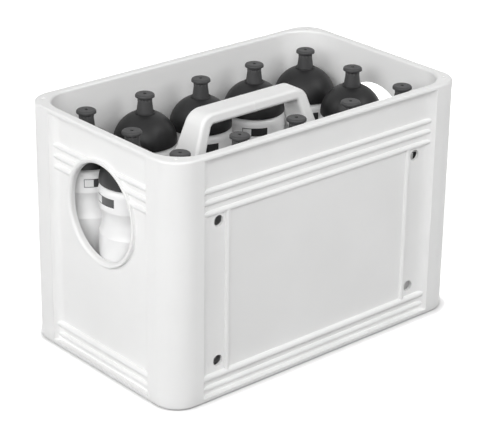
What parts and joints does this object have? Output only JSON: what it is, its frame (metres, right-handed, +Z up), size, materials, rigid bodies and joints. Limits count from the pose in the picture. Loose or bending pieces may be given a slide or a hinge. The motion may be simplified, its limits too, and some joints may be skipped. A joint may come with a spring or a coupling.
{
  "type": "bottle caddy",
  "caption": "Moulded crate with hand holes, cell divider and central carrying handle, loaded with sports bottles that have domed screw caps and push-pull spouts.",
  "frame": {"origin": "middle of the crate's footprint, on the surface that it stands on", "axes": "+X along the crate's long side, +Y across it, +Z up"},
  "size_m": [0.4, 0.246, 0.27],
  "materials": {
    "crate": "satin white",
    "screw": "zinc plated",
    "bottle": "soft white squeeze plastic",
    "cap": "matte black",
    "seal": "plain silicone",
    "spout": "soft matte black"
  },
  "bodies": {
    "crate": {"crate_shell": "crate", "cell_divider": "crate", "carry_handle": "crate", "handle_screws": "screw"},
    "bottle_01": {"bottle_01_body": "bottle"},
    "cap_01": {"bottle_01_cap": "cap", "bottle_01_seal": "seal"},
    "spout_01": {"bottle_01_spout": "spout"},
    "bottle_02": {"bottle_02_body": "bottle"},
    "cap_02": {"bottle_02_cap": "cap", "bottle_02_seal": "seal"},
    "spout_02": {"bottle_02_spout": "spout"},
    "bottle_03": {"bottle_03_body": "bottle"},
    "cap_03": {"bottle_03_cap": "cap", "bottle_03_seal": "seal"},
    "spout_03": {"bottle_03_spout": "spout"},
    "bottle_04": {"bottle_04_body": "bottle"},
    "cap_04": {"bottle_04_cap": "cap", "bottle_04_seal": "seal"},
    "spout_04": {"bottle_04_spout": "spout"},
    "bottle_05": {"bottle_05_body": "bottle"},
    "cap_05": {"bottle_05_cap": "cap", "bottle_05_seal": "seal"},
    "spout_05": {"bottle_05_spout": "spout"},
    "bottle_06": {"bottle_06_body": "bottle"},
    "cap_06": {"bottle_06_cap": "cap", "bottle_06_seal": "seal"},
    "spout_06": {"bottle_06_spout": "spout"},
    "bottle_07": {"bottle_07_body": "bottle"},
    "cap_07": {"bottle_07_cap": "cap", "bottle_07_seal": "seal"},
    "spout_07": {"bottle_07_spout": "spout"},
    "bottle_08": {"bottle_08_body": "bottle"},
    "cap_08": {"bottle_08_cap": "cap", "bottle_08_seal": "seal"},
    "spout_08": {"bottle_08_spout": "spout"},
    "bottle_09": {"bottle_09_body": "bottle"},
    "cap_09": {"bottle_09_cap": "cap", "bottle_09_seal": "seal"},
    "spout_09": {"bottle_09_spout": "spout"},
    "bottle_10": {"bottle_10_body": "bottle"},
    "cap_10": {"bottle_10_cap": "cap", "bottle_10_seal": "seal"},
    "spout_10": {"bottle_10_spout": "spout"},
    "bottle_11": {"bottle_11_body": "bottle"},
    "cap_11": {"bottle_11_cap": "cap", "bottle_11_seal": "seal"},
    "spout_11": {"bottle_11_spout": "spout"},
    "bottle_12": {"bottle_12_body": "bottle"},
    "cap_12": {"bottle_12_cap": "cap", "bottle_12_seal": "seal"},
    "spout_12": {"bottle_12_spout": "spout"}
  },
  "joints": [
    {"name": "bottle_01_lift", "type": "slide", "parent": "crate", "child": "bottle_01", "axis": [0, 0, 1], "range_m": [0, 0.27]},
    {"name": "cap_01_off", "type": "slide", "parent": "bottle_01", "child": "cap_01", "axis": [0, 0, 1], "range_m": [0, 0.04]},
    {"name": "spout_01_pull", "type": "slide", "parent": "cap_01", "child": "spout_01", "axis": [0, 0, 1], "range_m": [0, 0.006]},
    {"name": "bottle_02_lift", "type": "slide", "parent": "crate", "child": "bottle_02", "axis": [0, 0, 1], "range_m": [0, 0.27]},
    {"name": "cap_02_off", "type": "slide", "parent": "bottle_02", "child": "cap_02", "axis": [0, 0, 1], "range_m": [0, 0.04]},
    {"name": "spout_02_pull", "type": "slide", "parent": "cap_02", "child": "spout_02", "axis": [0, 0, 1], "range_m": [0, 0.006]},
    {"name": "bottle_03_lift", "type": "slide", "parent": "crate", "child": "bottle_03", "axis": [0, 0, 1], "range_m": [0, 0.27]},
    {"name": "cap_03_off", "type": "slide", "parent": "bottle_03", "child": "cap_03", "axis": [0, 0, 1], "range_m": [0, 0.04]},
    {"name": "spout_03_pull", "type": "slide", "parent": "cap_03", "child": "spout_03", "axis": [0, 0, 1], "range_m": [0, 0.006]},
    {"name": "bottle_04_lift", "type": "slide", "parent": "crate", "child": "bottle_04", "axis": [0, 0, 1], "range_m": [0, 0.27]},
    {"name": "cap_04_off", "type": "slide", "parent": "bottle_04", "child": "cap_04", "axis": [0, 0, 1], "range_m": [0, 0.04]},
    {"name": "spout_04_pull", "type": "slide", "parent": "cap_04", "child": "spout_04", "axis": [0, 0, 1], "range_m": [0, 0.006]},
    {"name": "bottle_05_lift", "type": "slide", "parent": "crate", "child": "bottle_05", "axis": [0, 0, 1], "range_m": [0, 0.27]},
    {"name": "cap_05_off", "type": "slide", "parent": "bottle_05", "child": "cap_05", "axis": [0, 0, 1], "range_m": [0, 0.04]},
    {"name": "spout_05_pull", "type": "slide", "parent": "cap_05", "child": "spout_05", "axis": [0, 0, 1], "range_m": [0, 0.006]},
    {"name": "bottle_06_lift", "type": "slide", "parent": "crate", "child": "bottle_06", "axis": [0, 0, 1], "range_m": [0, 0.27]},
    {"name": "cap_06_off", "type": "slide", "parent": "bottle_06", "child": "cap_06", "axis": [0, 0, 1], "range_m": [0, 0.04]},
    {"name": "spout_06_pull", "type": "slide", "parent": "cap_06", "child": "spout_06", "axis": [0, 0, 1], "range_m": [0, 0.006]},
    {"name": "bottle_07_lift", "type": "slide", "parent": "crate", "child": "bottle_07", "axis": [0, 0, 1], "range_m": [0, 0.27]},
    {"name": "cap_07_off", "type": "slide", "parent": "bottle_07", "child": "cap_07", "axis": [0, 0, 1], "range_m": [0, 0.04]},
    {"name": "spout_07_pull", "type": "slide", "parent": "cap_07", "child": "spout_07", "axis": [0, 0, 1], "range_m": [0, 0.006]},
    {"name": "bottle_08_lift", "type": "slide", "parent": "crate", "child": "bottle_08", "axis": [0, 0, 1], "range_m": [0, 0.27]},
    {"name": "cap_08_off", "type": "slide", "parent": "bottle_08", "child": "cap_08", "axis": [0, 0, 1], "range_m": [0, 0.04]},
    {"name": "spout_08_pull", "type": "slide", "parent": "cap_08", "child": "spout_08", "axis": [0, 0, 1], "range_m": [0, 0.006]},
    {"name": "bottle_09_lift", "type": "slide", "parent": "crate", "child": "bottle_09", "axis": [0, 0, 1], "range_m": [0, 0.27]},
    {"name": "cap_09_off", "type": "slide", "parent": "bottle_09", "child": "cap_09", "axis": [0, 0, 1], "range_m": [0, 0.04]},
    {"name": "spout_09_pull", "type": "slide", "parent": "cap_09", "child": "spout_09", "axis": [0, 0, 1], "range_m": [0, 0.006]},
    {"name": "bottle_10_lift", "type": "slide", "parent": "crate", "child": "bottle_10", "axis": [0, 0, 1], "range_m": [0, 0.27]},
    {"name": "cap_10_off", "type": "slide", "parent": "bottle_10", "child": "cap_10", "axis": [0, 0, 1], "range_m": [0, 0.04]},
    {"name": "spout_10_pull", "type": "slide", "parent": "cap_10", "child": "spout_10", "axis": [0, 0, 1], "range_m": [0, 0.006]},
    {"name": "bottle_11_lift", "type": "slide", "parent": "crate", "child": "bottle_11", "axis": [0, 0, 1], "range_m": [0, 0.27]},
    {"name": "cap_11_off", "type": "slide", "parent": "bottle_11", "child": "cap_11", "axis": [0, 0, 1], "range_m": [0, 0.04]},
    {"name": "spout_11_pull", "type": "slide", "parent": "cap_11", "child": "spout_11", "axis": [0, 0, 1], "range_m": [0, 0.006]},
    {"name": "bottle_12_lift", "type": "slide", "parent": "crate", "child": "bottle_12", "axis": [0, 0, 1], "range_m": [0, 0.27]},
    {"name": "cap_12_off", "type": "slide", "parent": "bottle_12", "child": "cap_12", "axis": [0, 0, 1], "range_m": [0, 0.04]},
    {"name": "spout_12_pull", "type": "slide", "parent": "cap_12", "child": "spout_12", "axis": [0, 0, 1], "range_m": [0, 0.006]}
  ]
}
